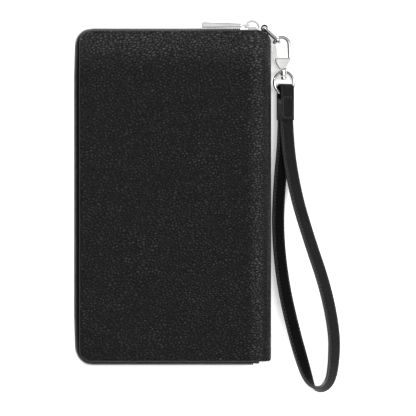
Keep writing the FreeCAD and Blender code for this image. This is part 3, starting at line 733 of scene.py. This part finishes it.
def pen_loop():
    """Ribbed elastic tube with a hem at each end."""
    cx, r, wall, foot, length = 57.3, 5.0, 0.8, 62.0, 32.0
    cz = THICK - INSIDE - r
    around, along = 96, 22
    verts, faces = [], []
    for radius, sign in ((r, -1), (r - wall, 1)):
        for j in range(along + 1):
            hem = 0.10 if j in (0, along) else 0.0
            for k in range(around):
                a = 2 * math.pi * k / around
                rib = 0.06 * (k % 2) if radius == r else 0.0
                rr = radius - rib + sign * hem
                verts.append((cx + rr * math.cos(a), foot + length * j / along, cz + rr * math.sin(a)))
    m = (along + 1) * around
    for k in range(around):
        step = (k + 1) % around - k
        for a in range(k, m - around, around):
            b = a + step
            faces.append((a, b, b + around, a + around))
            faces.append((m + a + around, m + b + around, m + b, m + a))
        for a in (k, m - around + k):
            faces.append((a, a + step, m + a + step, m + a))
    return outward(mesh_object("pen_loop_tube", verts, faces, ELASTIC))


finish_piece(pen_loop(), "upper_cover", "elastic", "pen_loop")


# ================================================================ zip
TAPE_BULGE = 0.9                   # further out than in the CAD, at the long side and the lower end
TEETH_START, TEETH_END, TEETH_FOOT, TOOTH_PITCH = 45.0, 54.5, 9.05, 2.5
TOOTH_WIDE, TOOTH_OUT, TOOTH_TALL, TOOTH_MID = 1.05, 1.85, 2.55, 1.275


def zip_line(step=2.0, start=TAPE_END, end=TAPE_END):
    """(point, outward) along the three sides at the tape's foot, in millimetres."""
    left, half, r = TAPE_LEFT, TAPE_HALF, TAPE_CORNER
    line = []

    def straight(a, b, out):
        count = max(1, round((Vector(b) - Vector(a)).length / step))
        for k in range(count):
            line.append((Vector(a).lerp(Vector(b), k / count), Vector(out)))

    def turn(cx, cy, from_deg):
        count = 10
        for k in range(count):
            a = math.radians(from_deg + 90 * k / count)
            out = Vector((math.cos(a), math.sin(a), 0))
            line.append((Vector((cx, cy, 0)) + out * r, out))
    straight((start, half, 0), (left + r, half, 0), (0, 1, 0))
    turn(left + r, half - r, 90)
    straight((left, half - r, 0), (left, r - half, 0), (-1, 0, 0))
    turn(left + r, r - half, 180)
    straight((left + r, -half, 0), (end, -half, 0), (0, -1, 0))
    line.append((Vector((end, -half, 0)), Vector((0, -1, 0))))
    for point, out in line:
        fullness = max(0.0, 1.0 - (point.y / (half - 3)) ** 2)
        point.x += TAPE_BULGE * out.x * min(1.0, 2.2 * fullness)
        if out.y < 0:
            point.y += TAPE_BULGE * out.y
    return line


def tape_section():
    """(outward, up) round one folded tape: a sewn flange, a wall that swells a little, and a corded edge."""
    foot, top, cloth, lean = LEATHER + 0.02, 9.0, 0.55, 1.2
    shares = np.linspace(0, 1, 9)
    swell = [lean * t + 0.12 * math.sin(math.pi * t) for t in shares]
    outer = [(o - 0.02, foot + (top - foot) * t) for o, t in zip(swell, shares)]
    inner = [(o - 0.58, foot + cloth + (top - foot - cloth) * t) for o, t in zip(swell, shares)]
    return [(-2.3, foot + 0.02), (-1.0, foot), *outer, (0.85, top + 0.03), *inner[::-1],
            (-1.0, foot + cloth), (-2.3, foot + 0.5)]


def tape(name, upper):
    section = tape_section()
    line = zip_line()
    verts, faces = [], []
    k = len(section)
    for point, out in line:
        for d, z in section:
            p = point + out * d
            verts.append((p.x, p.y, THICK - z if upper else z))
    for i in range(len(line) - 1):
        for j in range(k):
            n = (j + 1) % k
            faces.append((i * k + j, i * k + n, (i + 1) * k + n, (i + 1) * k + j))
    faces += [list(range(k)), [(len(line) - 1) * k + j for j in range(k)]]
    obj = outward(mesh_object(name, verts, faces, TAPE))
    side = "upper" if upper else "lower"
    finish_piece(obj, f"{side}_cover", "zip_tape", f"{side}_zip_tape")


def tooth_shape():
    """One tooth as (along, outward, up) points: a clamped leg, a waist and a rounded head."""
    work = bmesh.new()
    bmesh.ops.create_cube(work, size=1.0)
    for v in work.verts:
        v.co = (v.co.x * TOOTH_WIDE, TOOTH_MID + v.co.y * TOOTH_OUT, TOOTH_MID + v.co.z * TOOTH_TALL)
    upright = [e for e in work.edges if abs(e.verts[0].co.z - e.verts[1].co.z) > 1]
    bmesh.ops.subdivide_edges(work, edges=upright, cuts=4)
    for v in work.verts:
        waist = v.co.z / TOOTH_TALL - 0.55
        v.co.x *= 1.0 - 0.16 * math.exp(-(waist / 0.14) ** 2)
        v.co.y = TOOTH_MID + (v.co.y - TOOTH_MID) * (1.0 - 0.10 * math.exp(-(waist / 0.2) ** 2))
    bmesh.ops.bevel(work, geom=list(work.edges), offset=0.16, segments=2, affect="EDGES",
                    clamp_overlap=True)
    bmesh.ops.triangulate(work, faces=[f for f in work.faces if len(f.verts) > 4])
    work.verts.ensure_lookup_table()
    points = [tuple(v.co) for v in work.verts]
    faces = [[v.index for v in f.verts] for f in work.faces]
    work.free()
    return points, faces


def teeth(name, upper, phase):
    """A row of teeth along the tape's edge, phase pitches from its start."""
    line = zip_line(0.5, TEETH_START, TEETH_END)
    lengths = lengths_along([point for point, _ in line])
    points, tooth_faces = tooth_shape()
    verts, faces = [], []
    along = phase * TOOTH_PITCH
    while along < lengths[-1]:
        i = max(1, int(np.searchsorted(lengths, along)))
        share = (along - lengths[i - 1]) / (lengths[i] - lengths[i - 1])
        place = line[i - 1][0].lerp(line[i][0], share)
        out = line[i - 1][1].lerp(line[i][1], share).normalized()
        run = Vector((-out.y, out.x, 0))
        first = len(verts)
        for a, d, z in points:
            p = place + run * a + out * d
            z += TEETH_FOOT
            verts.append((p.x, p.y, THICK - z if upper else z))
        faces += [[first + i for i in f] for f in tooth_faces]
        along += TOOTH_PITCH
    obj = outward(mesh_object(name, verts, faces, TEETH))
    side = "upper" if upper else "lower"
    finish_piece(obj, f"{side}_cover", "zip_teeth", f"{side}_zip_teeth")


tape("lower_tape_cloth", False)
tape("upper_tape_cloth", True)
teeth("lower_teeth_row", False, 0.0)
teeth("upper_teeth_row", True, 0.5)
for node in ("zip_bottom_stop", "zip_top_stop"):
    dress(node, TEETH)


# ================================================================ ring tab
def ring_tab():
    """Leather tongue out of the spine, rolled round the ring's bar and back."""
    cx, cy = RING_BAR
    tongue_x, roll = 64.5, 1.9
    line = [(tongue_x, y) for y in np.linspace(100.3, 110.6, 8)]
    line += [(cx + roll * math.cos(a), cy + roll * math.sin(a))
             for a in np.radians(np.linspace(-8, 262, 24))]
    line += [(62.5, 112.2), (63.1, 111.6)]
    points = [Vector((x, y, MID)) for x, y in line]
    frames = [(point, run, UP, run.cross(UP).normalized()) for point, run in zip(points, runs(points))]
    return band("ring_tab_leather", frames, 11.0, 0.95, [SMOOTH, EDGE], 1.4)


finish_piece(ring_tab(), "spine", "strap_leather", "ring_tab")


# ================================================================ metal
for node in ("d_ring", "slider_body", "slider_bridge", "pull_tab", "clasp_hook", "swivel_post_head",
             "clasp_gate", "gate_pin", "swivel_ring"):
    dress(node, NICKEL)
dress("gate_spring", SPRING)


# ================================================================ floor and light
def floor():
    """White, and glowing faintly so that the shadows on it stay light."""
    n = Nodes("studio_floor")
    n.set(Base_Color=n.colours(n.noise(3.0, 2.0), (0.93, 0.93, 0.93), (0.95, 0.95, 0.95)), Roughness=0.9,
          Specular_IOR_Level=0.1, Emission_Color=(1.0, 1.0, 1.0, 1.0), Emission_Strength=0.42)
    half, z = 3.0 / MM, -0.05
    corners = [(-half, -half, z), (half, -half, z), (half, half, z), (-half, half, z)]
    mesh_object("studio_floor", corners, [(0, 1, 2, 3)], n.material)


def area(name, place, size, power):
    """A lamp at a place in metres, aimed at the middle of the floor."""
    data = bpy.data.lights.new(name, "AREA")
    data.shape, data.size, data.size_y = "RECTANGLE", *size
    data.energy = power
    obj = bpy.data.objects.new(name, data)
    obj.location = place
    obj.rotation_euler = (-Vector(place)).to_track_quat("-Z", "Y").to_euler()
    bpy.context.scene.collection.objects.link(obj)


floor()
area("key", (-0.62, 0.85, 1.25), (0.6, 0.6), 18.0)
area("right", (0.75, 0.05, 1.40), (0.5, 0.9), 14.0)
area("left", (-1.25, -0.3, 0.8), (0.7, 0.7), 2.0)
area("front", (0.2, -1.35, 0.8), (0.9, 0.6), 1.4)
area("top", (0.02, 0.0, 2.3), (1.1, 1.1), 3.0)
world = bpy.data.worlds.new("studio")
world.use_nodes = True
world.node_tree.nodes["Background"].inputs["Color"].default_value = (1, 1, 1, 1)
world.node_tree.nodes["Background"].inputs["Strength"].default_value = 0.40
bpy.context.scene.world = world
